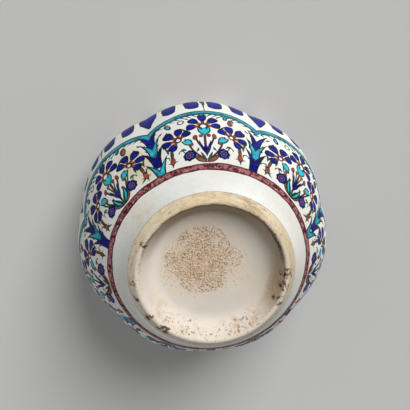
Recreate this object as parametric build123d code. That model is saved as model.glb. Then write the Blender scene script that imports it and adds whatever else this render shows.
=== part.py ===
from build123d import *
import math
import os

# A seven-lobed faience jar, upright on its foot ring, in millimetres.
# The origin is the centre of the foot ring on the table, +Z runs up the jar's axis.
# It is built the way a potter builds it: a turned foot ring, a lower and an upper half that are
# thrown round inside and pressed into lobes outside, a thrown neck and a rolled lip. Slip joins them.

# Belly: a ball, measured at the crests of its lobes
belly_radius = 125.0
belly_height = 115.0

# Wall of both halves along the lobes' crests, and the floor
wall = 8.0
floor_thickness = 8.0

# Lobes: one crest faces -Y, and the creases between them fade out towards foot and neck.
# They start at the top of the cove, and the other places are measured from the belly.
lobe_count = 7
crease_depth = 4.4
first_crest_angle = -90.0
crease_full_below = 53.0
crease_full_above = 63.0
crease_end_above = 99.0

# Foot ring: a narrow standing edge, a flared outer bevel and a sloping inner face
standing_outer_radius = 67.9
standing_width = 3.1
standing_edge_wear = 0.6
foot_height = 7.3
foot_flare = 6.6
recess_depth = 17.4
recess_taper = 11.4
recess_corner = 3.0

# A chip knocked out of the foot's bevel
chip_radius = 3.4
chip_depth = 1.3
chip_angle = 148.0

# Plain cove between the foot and the painted belly
cove_top_height = 25.0
cove_start_slope = 0.45
cove_bands = 3

# Neck, drawn in between root and top, and the coil of its lip
neck_bore_radius = 44.5
neck_root_wall = 10.5
neck_waist_wall = 5.5
neck_top_wall = 9.5
neck_height = 31.0
neck_bands = 3
lip_height = 7.0
lip_straight_height = 2.4
lip_overhang = 3.6
lip_bands = 6

# Slip worked over the joints inside
belly_slip_height = 14.0
belly_slip_thickness = 2.2
neck_slip_height = 7.0
neck_slip_thickness = 1.8

# Sand from the kiln shelf, fused to the glaze of the recess floor: shares are of that floor's radius
grit_radius_share = 0.62
grit_shift_x_share = -0.13
grit_shift_y_share = -0.14
grit_thickness = 0.7
grit_edge_width = 1.2
grit_waves = 5
grit_wave_share = 0.12
grit_points_per_wave = 6

# The ball of the belly is worked in straight bands of even turn
outer_low_bands = 5
outer_high_bands = 5
inside_low_bands = 4
inside_high_bands = 5
overrun = 5.0

lobe_angle = 2 * math.pi / lobe_count
first_crest = math.radians(first_crest_angle)
standing_inner_radius = standing_outer_radius - standing_width
foot_top_radius = standing_outer_radius + foot_flare
recess_floor_radius = standing_inner_radius - recess_taper
grit_radius = recess_floor_radius * grit_radius_share
grit_shift_x = recess_floor_radius * grit_shift_x_share
grit_shift_y = recess_floor_radius * grit_shift_y_share
neck_root_radius = neck_bore_radius + neck_root_wall
neck_waist_radius = neck_bore_radius + neck_waist_wall
neck_top_radius = neck_bore_radius + neck_top_wall
inside_radius = belly_radius - wall
inside_floor_height = recess_depth + floor_thickness


def ball_height(radius, ball):
    """Height above the belly's middle at which a ball has this radius."""
    return math.sqrt(ball**2 - radius**2)


def ball_radius(height, ball):
    """Radius of a ball at this height above or below the belly's middle."""
    return math.sqrt(ball**2 - height**2)


def ball_levels(low, high, ball, bands):
    """Heights that part a ball into bands of even turn, from one height to another."""
    start = math.asin((low - belly_height) / ball)
    turn = math.asin((high - belly_height) / ball) - start
    return [belly_height + ball * math.sin(start + turn * step / bands) for step in range(bands + 1)]


shoulder_top_height = belly_height + ball_height(neck_root_radius, belly_radius)
neck_top_height = shoulder_top_height + neck_height
lip_top_height = neck_top_height + lip_height


def ease(share):
    """Smooth step from 0 to 1."""
    share = min(max(share, 0), 1)
    return share * share * (3 - 2 * share)


def crease_at(height):
    """Depth of the creases between the lobes at a height."""
    full_height = belly_height - crease_full_below
    rising = ease((height - cove_top_height) / (full_height - cove_top_height))
    end_height = belly_height + crease_end_above
    falling = ease((end_height - height) / (crease_end_above - crease_full_above))
    return crease_depth * rising * falling


def crest_radius(height):
    """Outer radius along the crest of a lobe."""
    if height >= cove_top_height:
        return ball_radius(height - belly_height, belly_radius)
    # the cove is a cubic from the foot's top edge into the ball
    span = cove_top_height - foot_height
    share = (height - foot_height) / span
    end_radius = ball_radius(cove_top_height - belly_height, belly_radius)
    end_slope = (belly_height - cove_top_height) / end_radius
    leaving = share * (1 - share) ** 2 * span * cove_start_slope
    arriving = share * share * (share - 1) * span * end_slope
    return foot_top_radius + (end_radius - foot_top_radius) * ease(share) + leaving + arriving


def lobed_outline(height):
    """Closed outline at one height: bulging lobes that meet in creases."""
    crest = crest_radius(height)
    crease = crest - crease_at(height)
    # a curve pulled towards this radius passes through the crest
    pull = 2 * crest - crease * math.cos(lobe_angle / 2)

    def spot(turn, at):
        angle = first_crest + turn * lobe_angle
        return (at * math.cos(angle), at * math.sin(angle), height)

    lobes = []
    for lobe in range(lobe_count):
        lobes.append(Bezier(spot(lobe - 1 / 2, crease), spot(lobe, pull), spot(lobe + 1 / 2, crease)))
    return Wire(lobes)


def lobed_body(levels):
    """Solid body that follows the lobed outline from level to level."""
    return Solid.make_loft([lobed_outline(level) for level in levels], ruled=True)


def turned(outline):
    """Solid turned about the jar's axis from the outline of half its section."""
    return revolve(Plane.XZ * make_face(outline), Axis.Z)


def hollow():
    """Round inside of both halves, with the bore of the neck above it."""
    bore_start = belly_height + ball_height(neck_bore_radius, inside_radius)
    levels = ball_levels(inside_floor_height, belly_height, inside_radius, inside_low_bands)
    levels += ball_levels(belly_height, bore_start, inside_radius, inside_high_bands)[1:]
    side = [(ball_radius(level - belly_height, inside_radius), level) for level in levels]
    top = shoulder_top_height + overrun
    ends = [(neck_bore_radius, top), (0, top), (0, inside_floor_height)]
    return turned(Polyline(*side, *ends, close=True))


def recess_radius(height):
    """Radius of the sloping face inside the foot."""
    lean = (standing_inner_radius - recess_floor_radius) / recess_depth
    return standing_inner_radius - lean * height


def recess():
    """The hollow under the floor, with a soft corner where the slope meets the floor."""
    outline = Polyline(
        (0, -overrun),
        (recess_radius(-overrun), -overrun),
        (recess_floor_radius, recess_depth),
        (0, recess_depth),
        close=True,
    )
    solid = turned(outline)
    corner = solid.edges().filter_by(GeomType.CIRCLE).sort_by(Axis.Z)[-1]
    return chamfer(corner, recess_corner)


def make_lower_half():
    """Bowl from the foot's top edge to the widest part of the belly."""
    cove = cove_top_height - foot_height
    levels = [foot_height + cove * step / cove_bands for step in range(cove_bands)]
    levels += ball_levels(cove_top_height, belly_height, belly_radius, outer_low_bands)
    return lobed_body(levels) - hollow() - recess()


def make_upper_half():
    """Shoulder from the widest part of the belly to the root of the neck."""
    levels = ball_levels(belly_height, shoulder_top_height, belly_radius, outer_high_bands)
    return lobed_body(levels) - hollow()


def make_foot_ring():
    """Turned ring with a narrow worn standing edge, a flared bevel and one chip."""
    outline = Polyline(
        (standing_inner_radius, 0),
        (standing_outer_radius, 0),
        (foot_top_radius, foot_height),
        (recess_radius(foot_height), foot_height),
        close=True,
    )
    ring = turned(outline)
    standing_edges = ring.edges().filter_by(GeomType.CIRCLE).group_by(Axis.Z)[0]
    ring = chamfer(standing_edges, min(standing_edge_wear, standing_width / 3))
    bevel = math.atan2(foot_height, foot_top_radius - standing_outer_radius)
    stand_off = chip_radius - chip_depth
    away = (standing_outer_radius + foot_top_radius) / 2 + stand_off * math.sin(bevel)
    height = foot_height / 2 - stand_off * math.cos(bevel)
    return ring - Rot(0, 0, chip_angle) * Pos(away, 0, height) * Sphere(chip_radius)


def neck_radius(share):
    """Outer radius of the neck at a share of its height."""
    straight = neck_root_radius + (neck_top_radius - neck_root_radius) * share
    draw = (neck_root_radius + neck_top_radius) / 2 - neck_waist_radius
    return straight - 4 * share * (1 - share) * draw


def make_neck():
    """Thrown neck, drawn in at the waist, standing on the shoulder's flat edge."""
    shares = [step / neck_bands for step in range(neck_bands + 1)]
    side = [(neck_radius(share), shoulder_top_height + share * neck_height) for share in shares]
    bore = [(neck_bore_radius, neck_top_height), (neck_bore_radius, shoulder_top_height)]
    return turned(Polyline(*side, *bore, close=True))


def make_lip():
    """Rolled lip that overhangs the neck, flat below and rounded over into the bore."""
    outer_radius = neck_top_radius + lip_overhang
    half_width = (outer_radius - neck_bore_radius) / 2
    rise = lip_height - lip_straight_height
    outline = [(neck_bore_radius, neck_top_height), (outer_radius, neck_top_height)]
    for step in range(lip_bands + 1):
        angle = math.pi * step / lip_bands
        away = neck_bore_radius + half_width * (1 + math.cos(angle))
        outline.append((away, neck_top_height + lip_straight_height + rise * math.sin(angle)))
    return turned(Polyline(*outline, close=True))


def slip_band(radius, middle, height, thickness):
    """Ring of slip wiped over a joint inside, feathered out up and down."""
    front_radius = radius - thickness
    outline = Polyline(
        (radius, middle - height / 2),
        (radius, middle + height / 2),
        (front_radius, middle + height / 4),
        (front_radius, middle - height / 4),
        close=True,
    )
    return turned(outline)


def make_belly_slip():
    """Slip over the belly joint, which fills out to the curving wall."""
    band = slip_band(inside_radius, belly_height, belly_slip_height, belly_slip_thickness)
    return band & hollow()


def make_neck_slip():
    """Slip over the neck joint, against the straight bore."""
    return slip_band(neck_bore_radius, shoulder_top_height, neck_slip_height, neck_slip_thickness)


def make_kiln_grit():
    """Low patch of sand with a wavy edge on the recess floor."""
    count = grit_waves * grit_points_per_wave

    def edge(radius, height):
        points = []
        for step in range(count):
            angle = 2 * math.pi * step / count
            at = radius * (1 + grit_wave_share * math.cos(grit_waves * angle) * math.cos(angle))
            spot = (grit_shift_x + at * math.cos(angle), grit_shift_y + at * math.sin(angle))
            points.append((*spot, height))
        return Wire([Spline(*points, periodic=True)])

    lower = edge(grit_radius - grit_edge_width, recess_depth - grit_thickness)
    return Solid.make_loft([lower, edge(grit_radius, recess_depth)])


os.makedirs("parts", exist_ok=True)
nodes = {
    "foot_ring": make_foot_ring(),
    "lower_body": make_lower_half(),
    "upper_body": make_upper_half(),
    "neck": make_neck(),
    "lip": make_lip(),
    "belly_slip": make_belly_slip(),
    "neck_slip": make_neck_slip(),
    "kiln_grit": make_kiln_grit(),
}
for name, shape in nodes.items():
    export_step(shape, f"parts/{name}.step")
    print(name, round(shape.volume), "mm3")
print("total height", round(lip_top_height, 1), "mm")
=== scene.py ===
from functools import partialmethod
from math import asin, atan2, cos, degrees, e, hypot, pi, radians, sin, sqrt, tan

import bpy
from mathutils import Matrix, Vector, noise as grainNoise


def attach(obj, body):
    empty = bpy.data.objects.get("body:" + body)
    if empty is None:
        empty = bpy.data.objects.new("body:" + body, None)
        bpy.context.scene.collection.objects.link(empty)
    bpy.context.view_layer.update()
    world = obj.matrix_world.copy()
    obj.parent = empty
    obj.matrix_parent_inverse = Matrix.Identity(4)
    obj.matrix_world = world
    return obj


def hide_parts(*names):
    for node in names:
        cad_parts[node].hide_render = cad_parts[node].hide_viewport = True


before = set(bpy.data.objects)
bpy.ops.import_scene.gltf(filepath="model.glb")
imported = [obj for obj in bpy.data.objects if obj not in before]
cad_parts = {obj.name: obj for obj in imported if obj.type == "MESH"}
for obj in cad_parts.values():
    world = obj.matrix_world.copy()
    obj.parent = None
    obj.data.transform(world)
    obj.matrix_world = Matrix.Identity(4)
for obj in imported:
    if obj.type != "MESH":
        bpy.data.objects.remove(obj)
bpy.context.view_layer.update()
print("frame loaded:", sorted(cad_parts))

mm = 0.001

# sizes that more than one piece of the jar needs, in millimetres
jar = {
    "bellyRadius": 124.9, "bellyHeight": 115.0, "insideRadius": 117.0,
    "lobes": 7, "firstCrest": -90.0, "creaseDepth": 4.4, "creaseStart": 25.0,
    "creaseFullLow": 62.0, "creaseFullHigh": 178.0, "creaseEnd": 214.0,
    "turns": 336, "softAngle": 35.0,
}
lobeTurn = 2 * pi / jar["lobes"]


def setMode(mode):
    bpy.ops.object.mode_set(mode=mode)


def deselectAll():
    if bpy.context.object and bpy.context.object.mode != "OBJECT":
        setMode("OBJECT")
    bpy.ops.object.select_all(action="DESELECT")


def selectOnly(piece):
    deselectAll()
    piece.select_set(True)
    bpy.context.view_layer.objects.active = piece


def pickParts(piece, kind, chosen):
    # selects only the chosen edges or faces, and stays in edit mode
    setMode("EDIT")
    bpy.ops.mesh.select_mode(type=kind)
    bpy.ops.mesh.select_all(action="DESELECT")
    setMode("OBJECT")
    for part in piece.data.edges if kind == "EDGE" else piece.data.polygons:
        part.select = chosen(part)
    setMode("EDIT")


def throwOnWheel(name, outline):
    # a point is drawn out along half the section, then turned round the jar's axis
    deselectAll()
    at = outline[0]
    bpy.ops.mesh.primitive_plane_add(size=mm, location=(0, -at[0] * mm, at[1] * mm))
    piece = bpy.context.object
    piece.name = name
    bpy.ops.object.transform_apply(location=True)
    setMode("EDIT")
    bpy.ops.mesh.select_mode(type="VERT")
    bpy.ops.mesh.select_all(action="SELECT")
    bpy.ops.mesh.merge(type="CENTER")
    for spot in outline[1:]:
        move = (0, (at[0] - spot[0]) * mm, (spot[1] - at[1]) * mm)
        bpy.ops.mesh.extrude_vertices_move(TRANSFORM_OT_translate={"value": move})
        at = spot
    selectOnly(piece)
    wheel = piece.modifiers.new("wheel", "SCREW")
    wheel.steps = wheel.render_steps = jar["turns"]
    wheel.use_merge_vertices = True
    bpy.ops.object.modifier_apply(modifier=wheel.name)
    setMode("EDIT")
    bpy.ops.mesh.select_all(action="SELECT")
    bpy.ops.mesh.remove_doubles(threshold=0.01 * mm)
    bpy.ops.mesh.normals_make_consistent(inside=False)
    setMode("OBJECT")
    return piece


def finishPiece(piece, nodes, slot, finish, *others):
    # soft shading, a finish all over and others on some faces, and the piece's place on the jar
    selectOnly(piece)
    bpy.ops.object.transform_apply(location=True, rotation=True, scale=True)
    bpy.ops.object.shade_smooth_by_angle(angle=radians(jar["softAngle"]))
    piece.data.materials.clear()
    piece.data.materials.append(finish)
    for number, (material, chosen) in enumerate(others, 1):
        piece.data.materials.append(material)
        for face in piece.data.polygons:
            if chosen(face.center / mm):
                face.material_index = number
    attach(piece, "root")
    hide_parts(*nodes)
    print("made", piece.name, len(piece.data.polygons), "faces")


def shares(steps, first=1):
    return [step / steps for step in range(first, steps + 1)]


def drawTo(outline, end, steps, bulge=0.0):
    # carries an outline on to a spot, on a line that bulges sideways
    start = outline[-1]
    dx, dz = end[0] - start[0], end[1] - start[1]
    length = hypot(dx, dz)
    for t in shares(steps):
        side = 4 * bulge * t * (1 - t) / length
        outline.append((start[0] + dx * t + dz * side, start[1] + dz * t - dx * side))


def turnCorner(outline, corner, end, steps):
    # carries an outline on to a spot, softly round a corner
    start = outline[-1]
    for t in shares(steps):
        a, b, c = (1 - t) ** 2, 2 * t * (1 - t), t * t
        outline.append(tuple(a * p + b * q + c * r for p, q, r in zip(start, corner, end)))


def ballArc(ball, low, high, steps):
    # points along the belly's round from one height to another
    first, last = (asin((height - jar["bellyHeight"]) / ball) for height in (low, high))
    leans = [first + (last - first) * t for t in shares(steps, 0)]
    return [(ball * cos(lean), jar["bellyHeight"] + ball * sin(lean)) for lean in leans]


def ease(share):
    share = min(max(share, 0), 1)
    return share * share * (3 - 2 * share)


def lobedRadius(crest, crease, turn):
    # radius of the bulging curve between two creases, at an angle from the lobe's crest
    end = crease * cos(lobeTurn / 2)
    pull = 2 * crest - end
    slope = tan(turn)
    a = slope * (end - pull) / 2
    b = crease * sin(lobeTurn / 2)
    c = slope * (end + pull) / 2
    along = 2 * c / (b + sqrt(b * b - 4 * a * c))
    across = end * (1 + along ** 2) / 2 + pull * (1 - along ** 2) / 2
    return hypot(across, b * along)


def pressLobes(piece):
    # the wall is pressed in along seven creases that fade towards the foot and the neck
    for vertex in piece.data.vertices:
        x, y, z = (c / mm for c in vertex.co)
        away = hypot(x, y)
        fromMiddle = hypot(away, z - jar["bellyHeight"])
        if fromMiddle < (jar["bellyRadius"] + jar["insideRadius"]) / 2 or z < jar["creaseStart"]:
            continue
        rising = ease((z - jar["creaseStart"]) / (jar["creaseFullLow"] - jar["creaseStart"]))
        falling = ease((jar["creaseEnd"] - z) / (jar["creaseEnd"] - jar["creaseFullHigh"]))
        turn = atan2(y, x) - radians(jar["firstCrest"])
        turn = (turn + lobeTurn / 2) % lobeTurn - lobeTurn / 2
        crease = away - jar["creaseDepth"] * rising * falling
        pressed = lobedRadius(away, crease, turn) / away
        vertex.co.x *= pressed
        vertex.co.y *= pressed


class Wire:
    # a socket that can be reckoned with: each sign adds one Math node to its finish
    def __init__(self, pot, socket):
        self.pot = pot
        self.socket = socket

    def math(self, operation, *others, clamp=False):
        settings = {"operation": operation, "use_clamp": clamp}
        return self.pot.node("Math", settings, dict(enumerate((self, *others))))

    def scaled(self, factor, shift, clamp=False):
        return self.math("MULTIPLY_ADD", factor, shift, clamp=clamp)

    def vector(self, operation, *others, output="Vector"):
        values = dict(enumerate((self, *others)))
        return self.pot.node("VectorMath", {"operation": operation}, values, output)

    def __rsub__(self, other):
        return self.scaled(-1, other)

    __add__ = __radd__ = partialmethod(math, "ADD")
    __sub__ = partialmethod(math, "SUBTRACT")
    __mul__ = __rmul__ = partialmethod(math, "MULTIPLY")
    __truediv__ = partialmethod(math, "DIVIDE")
    __neg__ = partialmethod(math, "MULTIPLY", -1)
    __abs__ = partialmethod(math, "ABSOLUTE")


class PaintPot:
    # one finish, or the room's light: its tree and every node that is added to it
    def __init__(self, name, shelf=bpy.data.materials):
        self.owner = shelf.new(name)
        self.owner.use_nodes = True
        self.tree = self.owner.node_tree

    def node(self, kind, settings=None, inputs=None, output=0):
        node = self.tree.nodes.new("ShaderNode" + kind)
        for name, value in (settings or {}).items():
            setattr(node, name, value)
        for name, value in (inputs or {}).items():
            self.feed(node.inputs[name], value)
        return Wire(self, node.outputs[output])

    def feed(self, socket, value):
        if isinstance(value, Wire):
            self.tree.links.new(value.socket, socket)
        elif socket.type == "RGBA":
            socket.default_value = (*colours.get(value, value), 1)
        else:
            socket.default_value = value


# painting tools: every mask runs from 0, bare, to 1, covered; sizes are millimetres on the glaze,
# and a colour is a wire or the name of a paint
def noise(place, scale, detail, rough, output="Fac"):
    values = {"Vector": place, "Scale": scale, "Detail": detail, "Roughness": rough}
    return place.pot.node("TexNoise", {}, values, output)


def blend(share, under, over):
    # paints one colour over another
    return share.pot.node("Mix", {"data_type": "RGBA"}, {0: share, 6: under, 7: over}, 2)


def either(first, *others):
    # distance to the nearest of several shapes
    for other in others:
        first = first.math("MINIMUM", other)
    return first


def both(first, *others):
    # distance to what several shapes share; of masks, the strongest
    for other in others:
        first = first.math("MAXIMUM", other)
    return first


def filled(distance, soft=0.3):
    return distance.scaled(-1 / soft, 0.5, clamp=True)


def brushLine(distance, width, soft=0.3):
    return filled(abs(distance) - width / 2, soft)


def lay(colour, distance, fill, line, ink="ink", strength=1.0):
    # fills a shape and draws its outline
    colour = blend(filled(distance), colour, fill)
    return blend(brushLine(distance, line) * strength, colour, ink)


def coated(colour, *coats):
    # coats over a colour, each with its mask
    for share, over in coats:
        colour = blend(share, colour, over)
    return colour


def rise(value, low, high):
    # 0 below low, 1 above high, straight between
    return value.scaled(1 / (high - low), -low / (high - low), clamp=True)


def parts(vector, axes="XY"):
    return [vector.pot.node("SeparateXYZ", {}, {"Vector": vector}, axis) for axis in axes]


def joined(x, y, z=0.0):
    return x.pot.node("CombineXYZ", {}, {"X": x, "Y": y, "Z": z})


def diagonal(x, y):
    return (x * x + y * y).math("SQRT")


def lengthOf(vector):
    return vector.vector("LENGTH", output="Value")


def placed(spot, at, turn=0.0, size=(1.0, 1.0)):
    # the spot as seen from a shape's own centre, turned and scaled with it
    values = {"Location": (*at, 0), "Rotation": (0, 0, radians(turn)), "Scale": (*size, 1)}
    return spot.pot.node("Mapping", {"vector_type": "TEXTURE"}, {"Vector": spot, **values})


def oval(spot, at, size, turn=0.0):
    # distance to an oval dab with these half sizes
    small = min(size)
    return lengthOf(placed(spot, at, turn, size)).scaled(small, -small)


def onStroke(spot, start, end, bend):
    # along a stroke from -1 to 1, that squared, how far beside it, and half its length
    middle = ((start[0] + end[0]) / 2, (start[1] + end[1]) / 2)
    dx, dy = end[0] - start[0], end[1] - start[1]
    half = hypot(dx, dy) / 2
    along, across = parts(placed(spot, middle, degrees(atan2(dy, dx)), (half, 1)))
    square = along * along
    if bend:
        across = square.scaled(bend, across - bend)
    return along, square, across, half


def leaf(spot, start, end, halfWidth, bend=0.0):
    # distance to a pointed leaf, bowed sideways by bend
    _, square, across, _ = onStroke(spot, start, end, bend)
    return square.scaled(halfWidth, abs(across)) - halfWidth


def stem(spot, start, end, width, bend=0.0):
    # distance to a thin stem, bowed sideways by bend
    along, _, across, half = onStroke(spot, start, end, bend)
    return both(abs(across) - width / 2, abs(along).scaled(half, -half))


def hook(spot, at, radius, half):
    # distance to a ring, half a brush wide to each side
    return abs(lengthOf(placed(spot, at)) - radius) - half


def flower(spot, shape):
    # a fan of round-ended petals and the sepals at their feet, as seen from the flower's centre
    seen = placed(spot, shape["at"], shape["axis"])
    along, across = parts(seen)
    away = lengthOf(seen)
    spacing = radians(shape["spacing"])
    turn = across.math("ARCTAN2", along)
    # petals are numbered from -2 to 2
    petal = (turn * (1 / spacing)).math("ROUND").math("MINIMUM", 2).math("MAXIMUM", -2)
    inPetal = petal.scaled(-spacing, turn)
    out = away * inPetal.math("COSINE")
    side = abs(away * inPetal.math("SINE"))
    sepals = oval(joined(out, side), (shape["sepalAway"], 0), shape["sepalSize"])
    # petals widen towards their ends, notched by this share, and the outer ones are shorter
    notch = 0.18
    far = abs(petal).scaled(shape["shorter"], 1) * out
    far = side.scaled(-notch, far)
    waist = far.scaled(shape["flare"], 1 - shape["flare"] * shape["petalAway"])
    petals = oval(joined(far, side / waist), (shape["petalAway"], 0), shape["petalSize"])
    return petals, sepals, away


colours = {
    "ground": (0.79, 0.79, 0.74), "greyedGround": (0.50, 0.50, 0.47), "stainedGround": (0.66, 0.58, 0.38),
    "cobalt": (0.004, 0.009, 0.27), "darkCobalt": (0.003, 0.005, 0.075), "midCobalt": (0.008, 0.022, 0.38),
    "brightCobalt": (0.015, 0.035, 0.42), "paleCobalt": (0.20, 0.24, 0.50), "violet": (0.030, 0.022, 0.14),
    "turquoise": (0.035, 0.50, 0.60), "teal": (0.008, 0.15, 0.21), "archTurquoise": (0.03, 0.30, 0.37),
    "archLight": (0.08, 0.50, 0.58), "archInk": (0.008, 0.035, 0.045), "tooth": (0.014, 0.055, 0.058),
    "bole": (0.40, 0.075, 0.038), "thinBole": (0.22, 0.05, 0.03), "brown": (0.135, 0.038, 0.026),
    "paleBrown": (0.28, 0.10, 0.055), "green": (0.030, 0.078, 0.050), "ink": (0.012, 0.011, 0.020),
    "purple": (0.080, 0.010, 0.020), "mauve": (0.38, 0.145, 0.145), "paleMauve": (0.62, 0.44, 0.42),
}

# paints that puddle: two colours, and the brush noise between which one turns to the other
puddles = {
    "cobalt": ("darkCobalt", "cobalt", 0.42, 0.60),
    "turquoise": ("teal", "turquoise", 0.35, 0.65),
    "bole": ("thinBole", "bole", 0.40, 0.65),
    "brown": ("brown", "paleBrown", 0.42, 0.62),
    "violet": ("darkCobalt", "violet", 0.45, 0.60),
    "arch": ("teal", "archTurquoise", 0.38, 0.62),
    "band": ("purple", "mauve", 0.43, 0.56),
}


def puddled(brush, name):
    under, over, low, high = puddles[name]
    return blend(rise(brush, low, high), under, over)


def brushPlace(pot, hand, height):
    # millimetres to the right, to the front and up from a height, with the small shake of a hand
    place = pot.node("TexCoord", output="Object")
    shake = noise(place, hand["scale"], hand["detail"], hand["rough"], "Color")
    low = -hand["shake"] / 2
    shaken = shake.vector("MULTIPLY_ADD", (hand["shake"],) * 3, (low, low, low - height))
    return place, parts(place.vector("MULTIPLY_ADD", (1000, -1000, 1000), shaken), "XYZ")


# the belly's painting, read off the photograph and laid out on one lobe: across from its middle,
# and up from the lower edge of the purple band
painting = {
    "hand": {"shake": 2.6, "scale": 55, "detail": 2.5, "rough": 0.55},
    "foot": 0.7806, "upperStart": 0.183, "upperScale": 100, "upperFoot": 0.211, "hidden": 40,
    "bunchEdge": 5.6, "bandMiddle": 1.8, "bandHalf": 3.2, "bandWander": 1.6, "collarMiddle": 121.5,
}
middleFlower = {
    "at": (0, 49.5), "axis": 90, "spacing": 44, "flare": 0.04, "shorter": 0.13,
    "petalAway": 13.3, "petalSize": (5.5, 3.7), "sepalAway": 5.9, "sepalSize": (2.8, 1.4),
    "eye": 2.5, "ring": 3.2, "ringHalf": 0.75,
}
sideFlower = {
    "at": (24, 36.6), "axis": 44, "spacing": 50, "flare": 0.04, "shorter": 0.15,
    "petalAway": 11.4, "petalSize": (5.2, 3.6), "sepalAway": 4.8, "sepalSize": (2.4, 1.3),
    "eye": 1.7, "ring": 2.4, "ringHalf": 0.6,
}
rosette = {"at": (15.2, 15.2), "lobes": 8, "wave": 0.35, "radius": 5, "eye": 1.7, "ring": 2.9}

# brush strokes of half a bunch, mirrored about the lobe's middle; a leaf or a stem has its start,
# its end, its half or full width and its bend, an oval its centre, half sizes and turn
bunch = {
    "turquoise": [
        (leaf, (0, 36.2), (0, 49), 3), (leaf, (0, 37), (4.4, 48.8), 2.1, -0.8),
        (leaf, (11.4, 27), (21, 33), 2.7, 0.4), (leaf, (12.4, 26.6), (18, 35), 1.9, 0.8),
    ],
    "violet": [(leaf, (0, 12), (0, 28), 2), (leaf, (0.3, 14), (5.4, 31), 1.4, -0.5)],
    "brown": [
        (stem, (0.2, 17.5), (0, 36), 1.5), (stem, (0.4, 19), (8, 34), 1, -1.2),
        (stem, (0.6, 9), (14.5, 26), 1.1, -2.2), (leaf, (0, 6.6), (11.4, 14.2), 1.9, -0.8),
        (leaf, (30.4, 14), (31, 29.5), 1.3),
    ],
    "bole": [
        (oval, (3.5, 36.2), (1.7, 1.7)), (oval, (8.7, 35), (1.8, 2.8), 10),
        (oval, (13.2, 26.6), (1.9, 1.5)), (oval, (30.2, 13.6), (2.1, 3.3)),
    ],
    "green": [
        (leaf, (0, 6.6), (5.6, 17.5), 1.2), (stem, (25.6, 12.5), (30, 8.6), 1, 1.2),
        (stem, (34.6, 12.5), (30.4, 8.6), 1, -1.2), (stem, (30.2, 7.2), (30.2, 10.4), 0.9),
        (leaf, (17.5, 21.2), (23, 23.6), 1.1, 0.7), (leaf, (9.2, 18), (6.6, 22.5), 1, 0.6),
        (leaf, (34, 22.5), (37.5, 32), 1.2, 1.2), (leaf, (14.5, 45.5), (19, 50.5), 1, -0.8),
        (leaf, (38.5, 46), (34, 52.5), 1, 0.9), (leaf, (12.6, 62.5), (17, 66), 1, 0.8),
        (leaf, (40.5, 30.5), (42, 37), 1.1, -0.7),
    ],
}
# every other bunch also has long green stems, with turquoise leaves at their feet
tallBunch = {
    "green": [
        (stem, (0.2, 6.8), (19.8, 31.5), 1.6, -2.4), (stem, (0.2, 6.8), (4.2, 36), 1.6, 1.2),
        (leaf, (0.6, 6.8), (13, 24), 1.3, -2.6), (leaf, (25.5, 22), (29.5, 34), 1.2, 1.6),
        (leaf, (22.5, 8), (34.5, 21.5), 1.2, -2.2),
    ],
    "brown": [(stem, (1.2, 6.8), (11.2, 13.6), 1.2, 0.8)],
    "turquoise": [(leaf, (1.2, 6.8), (8.4, 21.5), 1.7, -1.4)],
}
# a turquoise and a brown bud on the right of each bunch, a turquoise bud and a green curl on its left
rightOfBunch = {
    "turquoise": [(oval, (21, 65), (1.7, 3), -15)],
    "brown": [(oval, (25.6, 58.6), (2.7, 5.2), -12)],
}
leftOfBunch = {
    "turquoise": [(oval, (33, 59), (1.8, 3.6), -30)],
    "green": [(hook, (20.2, 60.6), 2.9, 0.7)],
}
# short strokes, measured from the crease
nearCrease = {
    "green": [
        (leaf, (3.2, 36), (7.6, 42), 1.1, 0.6), (leaf, (3.6, 45.5), (8.4, 50), 1.2, 0.8),
        (leaf, (13.5, 55), (8.6, 51.6), 1.1, 0.5), (leaf, (14, 22), (17.5, 27.5), 1, 0.6),
    ],
}
# green hooks: a ring's centre, radius and half width, and the height above which it shows
hooks = [((22.2, 20), 2.2, 0.55, 19.4), ((35.6, 17), 2.6, 0.55, 16)]


def bellySpot(pot):
    # where the brush is on the belly: across and up on one lobe, from the jar's own coordinates
    place, (x, y, z) = brushPlace(pot, painting["hand"], jar["bellyHeight"])
    away = diagonal(x, y)
    around = x.math("ARCTAN2", y)
    number = (around * (1 / lobeTurn)).math("ROUND")
    turn = number.scaled(-lobeTurn, around)
    lean = z.math("ARCTAN2", away)
    upper = lean.math("GREATER_THAN", painting["upperStart"])

    def byHalf(low, high):
        # the first value on the lower half, the second on the shoulder
        return pot.node("Mix", {"data_type": "FLOAT"}, {0: upper, 2: low, 3: high}, 0)

    # low on the belly the painting keeps its size; on the shoulder it narrows with the jar
    slope = z / away
    spiral = (slope.scaled(slope, 1).math("SQRT") + slope).math("LOGARITHM", e)  # to its natural base
    scale = painting["upperScale"]
    lowUp = lean.scaled(jar["bellyRadius"], jar["bellyRadius"] * painting["foot"])
    highUp = spiral.scaled(scale, -scale * painting["upperFoot"])
    size = byHalf(away, scale)
    across = turn * size
    up = byHalf(lowUp, highUp)
    halfWidth = size * (lobeTurn / 2)
    # creases are counted so that the leaves at their feet alternate
    right = across.math("GREATER_THAN", 0)
    crease = number + right
    crease = crease.math("GREATER_THAN", jar["lobes"] / 2).scaled(-jar["lobes"], crease)
    return {
        "place": place, "across": across, "up": up, "size": size, "halfWidth": halfWidth,
        "number": number, "right": right, "odd": (crease * 0.5).math("FRACT").math("GREATER_THAN", 0.25),
        "spot": joined(abs(across), up), "toCrease": halfWidth - abs(across),
    }


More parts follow.
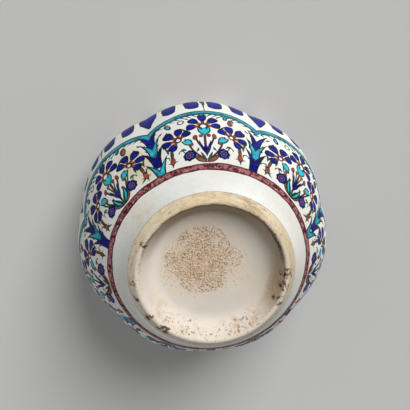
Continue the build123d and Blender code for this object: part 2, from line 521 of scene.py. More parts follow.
def gatherStrokes(at):
    # distances to the strokes of the bunch that fills each lobe, by the paint they take
    spot, hidden = at["spot"], painting["hidden"]
    shapes = {paint: [] for paint in bunch}
    everyOther = (abs(at["number"]) * 0.5).math("FRACT").math("LESS_THAN", 0.25)
    for strokes, seen, away in (
        (bunch, spot, None),
        (tallBunch, spot, everyOther * hidden),
        (rightOfBunch, spot, (1 - at["right"]) * hidden),
        (leftOfBunch, spot, at["right"] * hidden),
        (nearCrease, joined(at["toCrease"], at["up"]), None),
    ):
        for paint, dabs in strokes.items():
            for tool, *sizes in dabs:
                distance = tool(seen, *sizes)
                shapes[paint].append(distance + away if away else distance)
    for *ring, bottom in hooks:
        shapes["green"].append(both(hook(spot, *ring), bottom - at["up"]))
    return shapes


def paintBunch(at, ground, inside, brush, fine):
    # the bunch's colour, and the cobalt and turquoise that other shapes share
    spot = at["spot"]
    shapes = gatherStrokes(at)
    flowers, eyes = [], []
    for shape in (middleFlower, sideFlower):
        petals, sepals, away = flower(spot, shape)
        flowers.append(petals)
        eyes.append(away - shape["eye"])
        shapes["bole"].append(sepals)
        shapes["brown"].append(abs(away - shape["ring"]) - shape["ringHalf"])
    seen = placed(spot, rosette["at"])
    along, across = parts(seen)
    fringe = (across.math("ARCTAN2", along) * rosette["lobes"]).math("COSINE")
    fringed = fringe.scaled(-rosette["wave"], lengthOf(seen))
    cobalt = either(*flowers, fringed - rosette["radius"])
    shapes["bole"].append(fringed - rosette["eye"])
    masks = {paint: both(either(*dabs), inside) for paint, dabs in shapes.items()}
    colour = coated(
        lay(ground, masks["brown"], puddled(brush, "brown"), 0.8),
        (filled(masks["green"]), "green"),
        (filled(masks["violet"]), puddled(brush, "violet")),
    )
    turquoise = masks["turquoise"]
    turquoiseFill = blend(filled(turquoise + 1.0, 1.6), puddled(brush, "turquoise"), "turquoise")
    colour = lay(colour, turquoise, turquoiseFill, 1.2)
    cobaltFill = blend(rise(fine, 0.45, 0.7) * 0.35, puddled(brush, "cobalt"), "brightCobalt")
    cobaltFill = blend(filled(cobalt + 1.9, 1.4) * 0.4, cobaltFill, "midCobalt")
    colour = lay(colour, cobalt, cobaltFill, 1.25)
    colour = lay(colour, masks["bole"], puddled(brush, "bole"), 0.8, strength=0.8)
    colour = blend(brushLine(fringed - rosette["ring"], 0.5) * 0.6, colour, "paleCobalt")
    return blend(filled(either(*eyes)), colour, ground), cobaltFill, turquoiseFill


# leaves sheathed in each other along each crease, from the lowest tip up
creaseLeaf = {
    "tips": (22, 38, 52, 66), "length": 25, "spread": 9.5, "half": 3.4, "under": 24, "lowest": 3,
    "drop": 9,
}


def creaseLeaves(at):
    # distances to the pairs of leaves; every other crease has its pairs lower, and one fewer
    up = at["odd"].scaled(creaseLeaf["drop"], at["up"])
    leaves = []
    for tip in creaseLeaf["tips"]:
        along = up.scaled(1 / creaseLeaf["length"], 1 - tip / creaseLeaf["length"])
        along = along.math("MAXIMUM", 0)
        square = along * along
        middle = square.scaled(-creaseLeaf["spread"], at["toCrease"])
        blade = square.scaled(creaseLeaf["half"], abs(middle)) - creaseLeaf["half"]
        leaves.append(both(blade, max(tip - creaseLeaf["under"], creaseLeaf["lowest"]) - up))
    leaves[0] += at["odd"] * painting["hidden"]
    return leaves


# the arch that spans each lobe, and the toothed leaves that hang from its inner edge
arch = {
    "foot": 57.0, "rise": 17.5, "half": 3.1, "bottom": 55, "line": 1.5, "clear": 4.2,
    "toothGap": 1.2, "toothSpacing": 5.6, "toothLean": 0.9, "toothTaper": 0.16, "toothHalf": 1.25,
    "toothBottom": 57, "rail": 0.5,
}


def archDistance(at):
    # distance from the arch's middle line, outwards
    width = at["halfWidth"]
    side = abs(at["across"]) / width
    over = at["up"].scaled(1 / arch["rise"], -arch["foot"] / arch["rise"])
    over = over.math("MAXIMUM", 0)
    radius = diagonal(side, over)
    return (radius - 1) * radius / diagonal(side / width, over * (1 / arch["rise"]))


def paintArch(at, colour, ground, distance, brush):
    # turquoise between dark lines, on bare ground outside the bunch
    colour = blend(filled(-(distance + arch["clear"]), 0.8), colour, ground)
    inward = -(distance + arch["half"] + arch["toothGap"])
    leaning = (abs(at["across"]) + inward * arch["toothLean"]) * (1 / arch["toothSpacing"])
    teeth = abs(leaning.math("FRACT") - 0.5) * arch["toothSpacing"]
    teeth = inward.scaled(arch["toothTaper"], teeth) - arch["toothHalf"]
    teeth = either(both(teeth, -inward), abs(inward) - arch["rail"])
    colour = blend(filled(both(teeth, arch["toothBottom"] - at["up"]), 0.4), colour, "tooth")
    light = filled(abs(distance - 0.6) - 0.7, 1.0) * rise(brush, 0.36, 0.56)
    fill = blend(light * 0.65, puddled(brush, "arch"), "archLight")
    edge = both(abs(distance) - arch["half"], arch["bottom"] - at["up"])
    return lay(colour, edge, fill, arch["line"], "archInk")


# cobalt tongues round the belly's widest part, one with a long point over each crease,
# and a green spear over each crest; half widths grow between two heights
tongue = {
    "perLobe": 5, "shift": 3.5, "bottom": 90.5, "top": 112, "half": 5.2, "swell": 1.6, "swellAt": (78, 104),
    "pointFrom": 1.9, "pointDrop": 14.5, "pointHalf": -5.7, "pointSwell": 8.0, "pointAt": (72, 94),
    "spearHalf": 0.4, "spearSwell": 2.2, "spearAt": (86, 112), "spearEnds": (77.5, 117),
}


def tongueDistances(at):
    up = at["up"]
    period = at["size"] * (lobeTurn / tongue["perLobe"])
    count = (at["across"] - tongue["shift"]) / period
    cell = count.math("FLOOR")
    inCell = abs(count - cell - 0.5) * period
    pointed = abs(cell + 0.5).math("GREATER_THAN", tongue["pointFrom"])
    bottom = pointed.scaled(-tongue["pointDrop"], tongue["bottom"])
    below = (bottom - up).math("MAXIMUM", 0)
    beyond = (up - tongue["top"]).math("MAXIMUM", 0)
    half = rise(up, *tongue["swellAt"]).scaled(tongue["swell"], tongue["half"])
    point = rise(up, *tongue["pointAt"]).scaled(tongue["pointSwell"], tongue["pointHalf"])
    tongues = (inCell * inCell + (below * below + beyond * beyond)).math("SQRT") - (pointed * point + half)
    spear = rise(up, *tongue["spearAt"]).scaled(tongue["spearSwell"], tongue["spearHalf"])
    low, high = tongue["spearEnds"]
    return tongues, both(abs(count) * period - spear, low - up, up - high)


def paintBelly(pot):
    # lays the painting on its ground, colour by colour
    at = bellySpot(pot)
    place, up = at["place"], at["up"]
    cloud = noise(place, 14, 4, 0.6)
    brush = noise(place, 120, 3, 0.6)
    fine = noise(place, 480, 2, 0.6)
    ground = blend(rise(cloud, 0.54, 0.74) * 0.3, "ground", "stainedGround")
    ground = blend(rise(fine, 0.60, 0.75) * 0.20, ground, "greyedGround")
    # one panel is stained yellow beside its bunch
    stain = filled(oval(joined(at["across"], up), (30, 30), (15, 26), 12) + (cloud - 0.5) * 14, 9)
    stain = stain * abs(at["number"] + 1).math("LESS_THAN", 0.5)
    ground = blend(stain * 0.8, ground, "stainedGround")
    # the bunch stays under its arch, and above the band
    archAt = archDistance(at)
    inside = both(archAt + painting["bunchEdge"], painting["bunchEdge"] - up)
    colour, cobaltFill, turquoiseFill = paintBunch(at, ground, inside, brush, fine)
    colour = paintArch(at, colour, ground, archAt, brush)
    # leaves of the creases, turquoise and cobalt by turns, the lowest pair on top
    for number, blade in reversed(list(enumerate(creaseLeaves(at)))):
        colour = lay(colour, blade, cobaltFill if number % 2 else turquoiseFill, 1.3)
    tongues, spear = tongueDistances(at)
    colour = lay(colour, tongues, cobaltFill, 1.3)
    colour = blend(filled(spear, 0.5), colour, "green")
    # the purple band above the bare foot and its like round the neck's root, blotchy between dark lines
    wander = noise(place, 30, 2, 0.5) * painting["bandWander"]
    band = either(abs(up - painting["bandMiddle"]), abs(up - painting["collarMiddle"]))
    band = band - wander + painting["bandWander"] / 2 - painting["bandHalf"]
    bandFill = puddled(noise(place, 260, 3, 0.65), "band")
    bandFill = blend(rise(fine, 0.58, 0.68) * 0.6, bandFill, "paleMauve")
    colour = blend(filled(band, 0.5), colour, bandFill)
    return place, blend(brushLine(band + 0.4, 1.1, 0.5), colour, "purple")


# the border round the neck, on each of its repeats: across from the middle, and up from the root
border = {
    "hand": {"shake": 1.8, "scale": 60.0, "detail": 2, "rough": 0.5},
    "root": 227.0, "repeats": 14, "width": 23.0, "eye": 1.7,
    "palmette": {
        "at": (0, 13.5), "axis": 90, "spacing": 42, "flare": 0.05, "shorter": 0.10,
        "petalAway": 7.3, "petalSize": (3.4, 2.1), "sepalAway": 3.2, "sepalSize": (1.5, 0.8),
    },
    "lowLine": (2.0, 1.3), "highLine": (29.2, 0.9), "lipLine": (33.2, 0.55), "dashes": (36.6, 1.2),
}


def paintNeck(pot):
    # cobalt palmettes and turquoise leaves between purple lines, and dashes on the lip
    place, (x, y, up) = brushPlace(pot, border["hand"], border["root"])
    count = x.math("ARCTAN2", y) * (border["repeats"] / (2 * pi))
    spot = joined(abs(count - count.math("ROUND")) * border["width"], up)
    brush = noise(place, 120, 3, 0.6)
    cloud = noise(place, 14, 4, 0.6)
    colour = blend(rise(cloud, 0.52, 0.72) * 0.4, "ground", "stainedGround")
    cobaltFill = puddled(brush, "cobalt")
    petals, sepals, middle = flower(spot, border["palmette"])
    edge = border["width"] / 2
    dots = oval(spot, (edge, 25.6), (1.5, 1.5))
    for distance, fill in (
        (stem(spot, (0, 4.5), (0, 12), 1.1), "brown"),
        (leaf(spot, (edge + 0.6, 5.2), (edge - 3.2, 24.0), 2.3, -1.2), puddled(brush, "turquoise")),
        (petals, cobaltFill),
        (either(sepals, dots), "bole"),
    ):
        colour = lay(colour, distance, fill, 0.6, strength=0.9)
    colour = blend(filled(middle - border["eye"]), colour, "ground")
    low, high, lipLine, lipDash = (
        abs(up - border[line][0]) - border[line][1] for line in ("lowLine", "highLine", "lipLine", "dashes")
    )
    colour = blend(filled(either(low, high), 0.5), colour, "purple")
    colour = blend(filled(lipLine), colour, "cobalt")
    dash = abs((count * 3).math("FRACT") - 0.5).scaled(7.0, -1.9)
    return place, blend(filled(both(dash, lipDash), 0.4), colour, cobaltFill)


# bare clay, stained glaze, soot and sand, and the colours of painted shade and painted light under the foot
colours |= {
    "cove": (0.79, 0.79, 0.76), "yellowed": (0.70, 0.60, 0.40), "grey": (0.60, 0.57, 0.52),
    "recess": (0.82, 0.75, 0.66), "recessDark": (0.62, 0.55, 0.46), "slope": (0.80, 0.72, 0.64),
    "slopeShadeAndStain": (0.40, 0.32, 0.235), "ochre": (0.58, 0.42, 0.22), "cream": (0.78, 0.66, 0.46),
    "biscuit": (0.72, 0.64, 0.51), "standing": (0.84, 0.76, 0.64), "smudge": (0.46, 0.34, 0.22),
    "greyLine": (0.22, 0.20, 0.17), "burnt": (0.24, 0.13, 0.065), "soot": (0.050, 0.033, 0.024),
    "sandHaze": (0.76, 0.55, 0.36), "sand": (0.62, 0.38, 0.18),
}

# burnt spots under the jar: place, reach and strength
burns = [
    ((65.5, 3), 7, 1), ((64, 15), 6, 0.7), ((59, 29), 7, 0.6), ((-58, 40), 6.5, 1),
    ((-45, 53), 8, 0.95), ((-58, -31), 4.5, 0.9), ((-70, 6), 4, 0.9), ((-68, 21), 4, 0.85),
]


def paintFoot(pot, sandy):
    # bare biscuit on the foot's bevel and standing edge, stained glaze inside it and on the cove;
    # painted shade inside the ring towards -Y and painted light on the bevel's lower left;
    # the sandy one also colours the raised grains
    place = pot.node("TexCoord", output="Object")
    at = place.vector("MULTIPLY", (1000, 1000, 1000))
    x, y, z = parts(at, "XYZ")
    away = diagonal(x, y)
    cloud = noise(place, 22, 4, 0.6)
    dirt = noise(place, 110, 4, 0.7)
    fine = noise(place, 420, 3, 0.65)
    # edges that crawl in and out, and edges that drift
    ragged, drift = dirt - 0.5, cloud - 0.5
    # streaks that run round the ring
    streak = noise(joined(away * 0.5, y.math("ARCTAN2", x) * 7, z * 0.3), 1.0, 4, 0.65)

    def inPlan(spot, size):
        # distance from a spot under the jar, as a share of its size
        return lengthOf(placed(at, spot, 0, size).vector("MULTIPLY", (1, 1, 0)))

    def near(spot, reach, core=0.25):
        # 1 at a spot under the jar, fading from its core to 0 at its reach
        return rise(inPlan(spot, (reach, reach)), 1.0, core)

    def between(*edges):
        # 1 in a ring round the axis: fading in over two radii, and out over two
        return rise(away, *edges[:2]) * rise(away, *edges[2:])

    # glaze of the cove, yellowed here and there
    cove = coated(
        "cove",
        (rise(cloud, 0.52, 0.74) * 0.3, "yellowed"),
        (near((-62, -52), 30) * rise(dirt, 0.35, 0.65) * 0.7, "yellowed"),
        (rise(fine, 0.55, 0.70) * 0.3, "grey"),
        (rise(dirt, 0.50, 0.66) * 0.16, "grey"),
    )
    # greyish beige glaze of the recess, darker towards +X and with painted shade towards -Y, and its warmer
    # slope, with painted shade towards -Y and a stain towards +X
    recess = coated(
        "recess",
        (rise(x, 20, 52), "recessDark"),
        (rise(cloud, 0.45, 0.65) * 0.35, "grey"),
        # painted shade: the recess floor darker towards -Y
        (rise(y, -12, -50) * 0.75, "recessDark"),
    )
    # painted shade: the slope dark towards -Y; towards +X the same colour is a stain
    slope = coated(
        "slopeShadeAndStain",
        (rise(y, -50, -10), "slope"),
        (rise(x, 38, 60) * 0.8, "slopeShadeAndStain"),
        (both(near((-38, 46), 40), near((30, 54), 34)) * rise(dirt, 0.45, 0.60) * 0.55, "ochre"),
    )
    # cream biscuit of the bevel, yellower towards -Y, and with painted light: paler towards +Y and -X
    biscuit = coated(
        "cream",
        (rise(y, -55, 10), "biscuit"),
        # painted light: the bevel paler towards +Y and -X
        (rise(y - x * 0.6, 0, 60) * 0.8, "standing"),
        (near((-8, -66), 34) * rise(dirt, 0.42, 0.60) * 0.55, "ochre"),
        (near((72, -8), 44) * 0.45, "ochre"),
        (rise(streak, 0.46, 0.62) * 0.6, "ochre"),
        (rise(fine, 0.55, 0.70) * 0.35, "grey"),
    )
    recess = blend(rise(away + ragged * 4, 50, 55), recess, slope)
    colour = blend(rise(away + drift * 1.5, 66.0, 64.6), cove, recess)
    onBevel = rise(z + drift * 1.2, 7.2, 6.4) * rise(away + ragged * 3, 63.6, 65.2)
    colour = blend(onBevel, colour, biscuit)
    # the worn standing edge; a dark line just inside it towards -Y, partly burnt and partly painted shade;
    # the line where the glaze ends, smudges and soot on the ring's right side, burnt spots, and brown
    # specks low on the slope and fewer all round
    onEdge = rise(z, 0.9, 0.2) * rise(away + ragged * 3, 63.8, 64.6) * rise(y, -60, -20)
    # partly a burnt line, partly painted shade: dark just inside the inner edge towards -Y
    innerEdgeBurnAndShade = brushLine(away - 64.0 + ragged * 6, 2.6, 1.4) * rise(z, 5, 2) * rise(y, -5, -40)
    glazeEnd = rise(abs(z - 6.9 - drift * 1.5), 0.5, 0.1) * rise(away, 68, 70)
    smudge = near((57, 17), 23) * between(52, 57, 66, 63)
    crawled = near((59, -25), 24) * brushLine(away - 62.8 + ragged * 5, 1.9, 1.0)
    crawledLow = near((56, -8), 15) * brushLine(away - 59.0 + ragged * 7, 1.6, 1.4)
    smear = near((34, -63), 20) * rise(streak, 0.38, 0.54) * between(66, 69, 74.5, 72.5)
    marks = both(*(near(spot, reach, 0.5) * strength for spot, reach, strength in burns))
    onRing = between(57.5, 60.5, 73.5, 71)
    burn = noise(place, 230, 4, 0.7) * 0.85 + streak * 0.15 + marks * 0.13
    speckled = both(near((20, 58), 30), near((-25, 56), 28)) * between(53, 57, 68, 65)
    specks = rise(noise(place, 330, 2, 0.6) + speckled * 0.08, 0.65, 0.71) * rise(speckled, 0, 0.2)
    colour = coated(
        colour,
        (onEdge * 0.7, "standing"),
        (innerEdgeBurnAndShade * rise(streak, 0.36, 0.50) * 0.9, "burnt"),
        (glazeEnd * 0.5, "greyLine"),
        (smudge * rise(fine + dirt * 0.5, 0.56, 0.74) * 1.1, "smudge"),
        (crawled * rise(fine, 0.38, 0.50) * 0.9, "soot"),
        (crawledLow * rise(streak, 0.40, 0.52) * 0.7, "smudge"),
        (smear * 0.8, "smudge"),
        (rise(burn, 0.545, 0.62) * onRing * rise(marks, 0, 0.3) * 0.75, "burnt"),
        (rise(burn, 0.605, 0.66) * onRing * rise(marks, 0.1, 0.4) * 0.9, "soot"),
        (specks * 0.7, "burnt"),
        (rise(fine + dirt * 0.5, 0.90, 0.93) * between(60, 63, 75, 74) * 0.7, "burnt"),
    )
    # sand from the kiln shelf: raised grains, and finer ones lost around them
    dense = rise(inPlan((-7.0, -7.5), (35, 33)) + drift * 1.2, 1.30, 0.3) * rise(away, 47, 45)
    grain = noise(place, 620, 2, 0.7)
    grainFill = blend(rise(grain, 0.40, 0.62), "burnt", "sand")
    loose = rise(grain + dense * 0.08, 0.61, 0.66) * rise(dense, 0, 0.12)
    colour = coated(colour, (dense * 0.6, "sandHaze"), (loose * 0.75, grainFill))
    if sandy:
        pale = rise(noise(place, 800, 1, 0.5), 0.50, 0.62) * 0.6
        colour = blend(rise(z, 17.33, 17.15) * 0.9, colour, blend(pale, grainFill, "recess"))
    return colour, onBevel * 0.35 + 0.45, fine * 0.25 + onBevel * ragged + streak * 0.3


glaze = {
    "IOR": 1.3, "Specular IOR Level": 0.07, "Coat Weight": 0.13, "Coat IOR": 1.25, "Coat Roughness": 0.05,
}


def finishGlaze(pot, colour, rough, height, depth):
    # clear gloss over the paint, uneven by this depth in millimetres
    bump = pot.node("Bump", {}, {"Strength": 1.0, "Distance": depth * mm, "Height": height}, "Normal")
    shader = pot.tree.nodes["Principled BSDF"]
    for name, value in {**glaze, "Base Color": colour, "Roughness": rough, "Normal": bump}.items():
        pot.feed(shader.inputs[name], value)
    return pot.owner


def makePainted(name, paint, depth):
    # a painting under dipped glaze, with its orange peel and faint pits
    pot = PaintPot(name)
    place, colour = paint(pot)
    rough = noise(place, 200, 2, 0.5) * 0.3 + 0.40
    height = noise(place, 90, 3, 0.5) + rise(noise(place, 700, 1, 0.5), 0.74, 0.80) * -0.3
    return finishGlaze(pot, colour, rough, height, depth)


def makeFootPaint(name, sandy):
    pot = PaintPot(name)
    return finishGlaze(pot, *paintFoot(pot, sandy), 0.35)


colours |= {"white": (0.72, 0.71, 0.65), "insideYellow": (0.62, 0.54, 0.38), "speck": (0.35, 0.30, 0.22)}


def makeInsideGlaze():
    # white glaze inside, with throwing rings, a little yellowing and a few dark specks
    pot = PaintPot("insideGlaze")
    place = pot.node("TexCoord", output="Object")
    cloud = noise(place, 18, 4, 0.6)
    fine = noise(place, 300, 3, 0.6)
    yellowing = rise(cloud, 0.45, 0.70) * 0.6
    colour = coated("white", (yellowing, "insideYellow"), (rise(fine, 0.64, 0.72) * 0.4, "speck"))
    waves = {"wave_type": "BANDS", "bands_direction": "Z"}
    rings = pot.node("TexWave", waves, {"Vector": place, "Scale": 40.0, "Distortion": 1.0}, "Fac")
    return finishGlaze(pot, colour, fine * 0.3 + 0.15, rings * 0.6 + fine * 0.3, 0.4)


# the photograph looks up at the foot: the camera stands below the jar, the foot's face towards it
view = {
    "place": (-0.05478, -0.2963, -0.63186), "turn": (160.039, 4.879, 1.131), "lens": 70.24,
    "clip": (0.01, 200),
}
bpy.ops.object.camera_add(location=view["place"], rotation=[radians(a) for a in view["turn"]])
camera = bpy.context.object
camera.name = "photoCamera"
camera.data.lens = view["lens"]
camera.data.clip_start, camera.data.clip_end = view["clip"]
bpy.context.scene.camera = camera
print("camera placed")

# foot ring: a narrow standing edge, a flared bevel and the lower part of the recess slope
foot = {
    "standingOuter": 67.9, "standingInner": 64.8, "topRadius": 74.5, "height": 7.3, "bevelHollow": 0.15,
    "recessDepth": 17.4, "recessFloor": 53.4, "cornerOnFloor": 8.0, "cornerOnSlope": 7.0,
    "edgeWear": 1.3, "wearSteps": 5, "chipAngle": 148.0, "chipRadius": 3.6, "chipDepth": 1.4,
    "chipMargin": 1.2, "chipCuts": 3, "chipRough": 0.3, "chipGrain": 1.3,
}


def recessRadius(height):
    lean = (foot["standingInner"] - foot["recessFloor"]) / foot["recessDepth"]
    return foot["standingInner"] - lean * height


def makeFootRing():
    outline = [(foot["standingInner"], 0), (foot["standingOuter"], 0)]
    drawTo(outline, (foot["topRadius"], foot["height"]), 5, -foot["bevelHollow"])
    drawTo(outline, (recessRadius(foot["height"]), foot["height"]), 4)
    drawTo(outline, outline[0], 4)
    ring = throwOnWheel("footRing", outline)

    def onStandingEdge(edge):
        # round the foot's flat underside, not across it
        one, other = (ring.data.vertices[end].co / mm for end in edge.vertices)
        return max(one.z, other.z) < 0.01 and abs(hypot(*one.xy) - hypot(*other.xy)) < 0.02

    # the standing edges are worn round
    pickParts(ring, "EDGE", onStandingEdge)
    bpy.ops.mesh.bevel(offset=foot["edgeWear"] * mm, segments=foot["wearSteps"], affect="EDGES")
    knockChip(ring)
    return ring


def knockChip(ring):
    # faces round the chip are cut finer, then pressed back onto the ball that broke out of the bevel
    lean = atan2(foot["height"], foot["topRadius"] - foot["standingOuter"])
    standOff = foot["chipRadius"] - foot["chipDepth"]
    away = (foot["standingOuter"] + foot["topRadius"]) / 2 + standOff * sin(lean)
    turn = radians(foot["chipAngle"])
    heading, up = Vector((cos(turn), sin(turn), 0)), Vector((0, 0, 1))
    middle = heading * away + up * (foot["height"] / 2 - standOff * cos(lean))
    inward = up * cos(lean) - heading * sin(lean)
    reach = foot["chipRadius"] + foot["chipMargin"]
    pickParts(ring, "FACE", lambda face: (face.center / mm - middle).length < reach)
    bpy.ops.mesh.subdivide(number_cuts=foot["chipCuts"])
    setMode("OBJECT")
    for vertex in ring.data.vertices:
        place = vertex.co / mm - middle
        if place.length < foot["chipRadius"]:
            along = place.dot(inward)
            depth = sqrt(along ** 2 + foot["chipRadius"] ** 2 - place.length_squared) - along
            rough = foot["chipRough"] * (grainNoise.noise(vertex.co / mm * foot["chipGrain"]) - 0.5)
            vertex.co += inward * (depth * (1 + rough) * mm)


# lower bowl: cove, lobed belly up to its widest, round inside, floor and recess
bowl = {
    "coveTop": 25.0, "coveSlope": 0.45, "floorHeight": 25.4, "floorRadii": (50, 25, 0),
    "recessRadii": (0, 16, 32), "coveSteps": 9, "cornerSteps": 14, "bellySteps": 52, "insideSteps": 26,
}


def coveLine():
    # cubic from the foot's top edge into the belly's round
    span = bowl["coveTop"] - foot["height"]
    endRadius = sqrt(jar["bellyRadius"] ** 2 - (bowl["coveTop"] - jar["bellyHeight"]) ** 2)
    endSlope = (jar["bellyHeight"] - bowl["coveTop"]) / endRadius
    points = []
    for t in shares(bowl["coveSteps"]):
        leaving = t * (1 - t) ** 2 * span * bowl["coveSlope"]
        arriving = t * t * (t - 1) * span * endSlope
        radius = foot["topRadius"] + (endRadius - foot["topRadius"]) * ease(t) + leaving + arriving
        points.append((radius, foot["height"] + t * span))
    return points


def makeLowerBowl():
    floor = foot["recessDepth"]
    corner = (foot["recessFloor"], floor)
    lean = atan2(foot["standingInner"] - foot["recessFloor"], floor)
    away = foot["cornerOnSlope"]
    slopeStart = (corner[0] + away * sin(lean), floor - away * cos(lean))
    outline = [(radius, floor) for radius in (*bowl["recessRadii"], corner[0] - foot["cornerOnFloor"])]
    turnCorner(outline, corner, slopeStart, bowl["cornerSteps"])
    drawTo(outline, (recessRadius(foot["height"]), foot["height"]), 4)
    drawTo(outline, (foot["topRadius"], foot["height"]), 4)
    outline += coveLine()
    outline += ballArc(jar["bellyRadius"], bowl["coveTop"], jar["bellyHeight"], bowl["bellySteps"])[1:]
    outline += ballArc(jar["insideRadius"], jar["bellyHeight"], bowl["floorHeight"], bowl["insideSteps"])
    outline += [(radius, bowl["floorHeight"]) for radius in bowl["floorRadii"]]
    piece = throwOnWheel("lowerBowl", outline)
    pressLobes(piece)
    return piece


# shoulder bowl: the lobed upper half, from the widest part to the root of the neck
shoulder = {"neckRoot": 55.0, "boreRadius": 44.5, "bellySteps": 52, "insideSteps": 30}
shoulderTop = jar["bellyHeight"] + sqrt(jar["bellyRadius"] ** 2 - shoulder["neckRoot"] ** 2)


def makeShoulderBowl():
    bore, top = shoulder["boreRadius"], shoulderTop
    boreStart = jar["bellyHeight"] + sqrt(jar["insideRadius"] ** 2 - bore ** 2)
    outline = ballArc(jar["bellyRadius"], jar["bellyHeight"], top, shoulder["bellySteps"])
    drawTo(outline, (bore, top), 3)
    drawTo(outline, (bore, boreStart), 3)
    outline += ballArc(jar["insideRadius"], boreStart, jar["bellyHeight"], shoulder["insideSteps"])[1:]
    drawTo(outline, outline[0], 2)
    piece = throwOnWheel("shoulderBowl", outline)
    pressLobes(piece)
    return piece


# neck, drawn in at its waist, with faint rings left by the potter's fingers
neck = {"waist": 50.0, "top": 54.0, "height": 31.0, "ringDepth": 0.18, "rings": 5, "steps": 40}


def makeThrownNeck():
    bore, root = shoulder["boreRadius"], shoulderTop
    draw = (shoulder["neckRoot"] + neck["top"]) / 2 - neck["waist"]
    outline = []
    for t in shares(neck["steps"], 0):
        straight = shoulder["neckRoot"] + (neck["top"] - shoulder["neckRoot"]) * t
        ring = neck["ringDepth"] * sin(2 * pi * neck["rings"] * t) * sin(pi * t)
        outline.append((straight - 4 * t * (1 - t) * draw + ring, root + t * neck["height"]))
    drawTo(outline, (bore, root + neck["height"]), 3)
    drawTo(outline, (bore, root), 12)
    drawTo(outline, outline[0], 3)
    return throwOnWheel("thrownNeck", outline)


# lip, a coil rolled over the neck's edge
lip = {"height": 7.0, "straight": 2.4, "overhang": 3.6, "underRound": 0.9, "steps": 22}


def makeRolledLip():
    bore, soft = shoulder["boreRadius"], lip["underRound"]
    seat = shoulderTop + neck["height"]
    outer = neck["top"] + lip["overhang"]
    half = (outer - bore) / 2
    outline = [(bore, seat), (neck["top"], seat), (outer - soft, seat)]
    drawTo(outline, (outer, seat + soft), 4, 0.2 * soft)
    for t in shares(lip["steps"], 0):
        angle = pi * t
        height = lip["straight"] + (lip["height"] - lip["straight"]) * sin(angle)
        outline.append((bore + half * (1 + cos(angle)), seat + height))
    drawTo(outline, outline[0], 2)
    return throwOnWheel("rolledLip", outline)


# sand from the kiln shelf: a thin patch on the recess floor with raised grains
sand = {
    "middle": (-6.94, -7.48), "radius": 32.9, "waves": 5, "waveShare": 0.12, "cells": 165,
    "lift": 0.03, "spacing": 1.15, "grain": 0.60, "cut": 0.99, "fade": 0.985, "fadeSlope": 30,
    "thinning": 0.22, "missing": 0.08, "contrast": 3, "drifts": 0.45, "driftScale": 0.09,
}


def makeShelfSand():
    floor = foot["recessDepth"]
    middle = sand["middle"]
    deselectAll()
    bpy.ops.mesh.primitive_grid_add(
        x_subdivisions=sand["cells"], y_subdivisions=sand["cells"],
        size=2 * sand["radius"] * (1 + sand["waveShare"]) * mm,
        location=(middle[0] * mm, middle[1] * mm, (floor - sand["lift"]) * mm),
    )
    patch = bpy.context.object
    patch.name = "shelfSand"
    bpy.ops.object.transform_apply(location=True)

    def edgeShare(place):
        # distance from the patch's middle, as a share of its wavy edge
        x, y = place.x / mm - middle[0], place.y / mm - middle[1]
        turn = atan2(y, x)
        wave = sand["waveShare"] * cos(sand["waves"] * turn) * cos(turn)
        return hypot(x, y) / (sand["radius"] * (1 + wave))

    pickParts(patch, "FACE", lambda face: edgeShare(face.center) > sand["cut"])
    bpy.ops.mesh.delete(type="FACE")
    bpy.ops.mesh.select_all(action="SELECT")
    bpy.ops.mesh.extrude_region_move(TRANSFORM_OT_translate={"value": (0, 0, 2 * sand["lift"] * mm)})
    bpy.ops.mesh.dissolve_faces()
    bpy.ops.mesh.select_all(action="SELECT")
    bpy.ops.mesh.normals_make_consistent(inside=False)
    setMode("OBJECT")
    for vertex in patch.data.vertices:
        if vertex.co.z / mm > floor:
            continue
        share = edgeShare(vertex.co)
        spot = Vector((vertex.co.x, vertex.co.y, 0)) / (sand["spacing"] * mm)
        distances, middles = grainNoise.voronoi(spot)
        # grains thin out towards the edge, and differ in size
        chance = grainNoise.noise(middles[0] * 7.3) * 0.5 + 0.5
        drift = grainNoise.noise(spot * sand["driftScale"]) * sand["drifts"]
        size = ease((chance - sand["missing"] - sand["thinning"] * share ** 3 + drift) * sand["contrast"])
        dome = sqrt(max(0, 1 - (distances[0] / 0.5) ** 2))
        fade = ease((sand["fade"] - share) * sand["fadeSlope"])
        vertex.co.z -= sand["grain"] * size * dome * fade * mm
    return patch


bellyPaint = makePainted("bellyPaint", paintBelly, 0.35)
footFinish = makeFootPaint("footFinish", False)
sandFinish = makeFootPaint("sandFinish", True)
neckPaint = makePainted("neckPaint", paintNeck, 0.3)
insideGlaze = makeInsideGlaze()
print("finishes mixed")


slack = 0.2  # millimetres by which a face may miss the surface it belongs to


def isFoot(centre):
    return centre.z < bowl["coveTop"]


def isInside(centre):
    fromMiddle = hypot(centre.x, centre.y, centre.z - jar["bellyHeight"])
    return fromMiddle < jar["insideRadius"] + slack and centre.z > bowl["floorHeight"] - slack


def isBore(centre):
    return hypot(centre.x, centre.y) < shoulder["boreRadius"] + slack


below, within = (footFinish, isFoot), (insideGlaze, isInside)
finishPiece(makeFootRing(), ["foot_ring"], "bare_biscuit", footFinish)
finishPiece(makeLowerBowl(), ["lower_body"], "painted_glaze", bellyPaint, below, within)
finishPiece(makeShoulderBowl(), ["upper_body"], "painted_glaze", bellyPaint, within)
finishPiece(makeThrownNeck(), ["neck"], "painted_glaze", neckPaint, (insideGlaze, isBore))
finishPiece(makeRolledLip(), ["lip"], "painted_glaze", neckPaint)
finishPiece(makeShelfSand(), ["kiln_grit"], "kiln_sand", sandFinish)
for node in ("belly_slip", "neck_slip"):
    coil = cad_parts[node]
    coil.data.materials.clear()
    coil.data.materials.append(insideGlaze)

# a pale floor under the foot, and a pale ground behind the jar for the view from below;
# both are seen from one side only and neither lights the jar
stage = {"half": 40.0, "floor": -0.0002, "ground": 0.172, "colour": (0.64, 0.64, 0.63), "rough": 0.9}


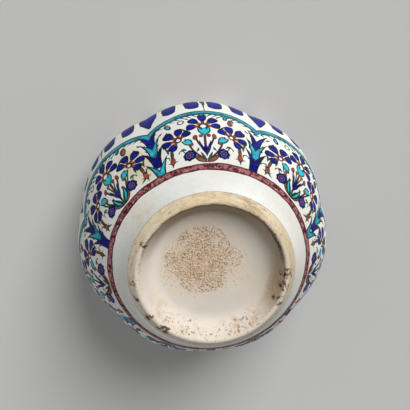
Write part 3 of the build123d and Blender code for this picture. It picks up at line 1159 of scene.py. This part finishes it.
def stageMaterial(name):
    pot = PaintPot(name)
    shader = pot.tree.nodes["Principled BSDF"]
    pot.feed(shader.inputs["Base Color"], stage["colour"])
    pot.feed(shader.inputs["Roughness"], stage["rough"])
    back = pot.node("NewGeometry", output="Backfacing")
    clear = pot.node("BsdfTransparent")
    mix = pot.node("MixShader", {}, {0: back, 1: Wire(pot, shader.outputs[0]), 2: clear})
    pot.feed(pot.tree.nodes["Material Output"].inputs[0], mix)
    return pot.owner


def layStage(name, height, turn):
    deselectAll()
    bpy.ops.mesh.primitive_plane_add(size=2 * stage["half"], location=(0, 0, height), rotation=(turn, 0, 0))
    plane = bpy.context.object
    plane.name = name
    plane.data.materials.append(stageMaterial(name + "Paint"))
    plane.visible_diffuse = plane.visible_glossy = False
    plane.visible_transmission = plane.visible_shadow = False


layStage("studioFloor", stage["floor"], 0)
layStage("studioGround", stage["ground"], pi)

# soft light from three sides, and two small lamps that show in the gloss only:
# place, strength, spread in degrees and whether it glints
lamps = {
    "keyBelow": ((0.30, -0.74, -0.60), 2.65, 34, False),
    "keyAbove": ((0.55, -0.50, 0.67), 1.9, 30, False),
    "fillAbove": ((-0.62, 0.55, 0.55), 0.8, 50, False),
    "glintBelow": ((0.10, -0.75, -0.65), 0.9, 5, True),
    "glintAbove": ((0.45, -0.60, 0.66), 1.1, 5, True),
}
for name, (place, strength, spread, glint) in lamps.items():
    bpy.ops.object.light_add(type="SUN", location=Vector(place) * 2)
    sun = bpy.context.object
    sun.name = name
    sun.rotation_euler = Vector(place).to_track_quat("Z", "Y").to_euler()
    sun.data.energy = strength
    sun.data.angle = radians(spread)
    sun.visible_glossy = glint
    sun.visible_diffuse = not glint

# an even white room, brighter where it is seen than as a light
room = {"light": 0.25, "seen": 0.58, "colour": (1, 1, 0.99)}


def lightRoom():
    pot = PaintPot("studio", bpy.data.worlds)
    rays = ("Is Camera Ray", "Is Transmission Ray", "Is Glossy Ray")
    seen = both(*(pot.node("LightPath", output=ray) for ray in rays))
    levels = {"Value": seen, "To Min": room["light"], "To Max": room["seen"]}
    level = pot.node("MapRange", {}, levels, "Result")
    background = pot.tree.nodes["Background"]
    pot.feed(background.inputs["Color"], room["colour"])
    pot.feed(background.inputs["Strength"], level)
    bpy.context.scene.world = pot.owner


lightRoom()
bpy.context.scene.view_settings.view_transform = "Standard"
deselectAll()
print("stage, lamps and world set")
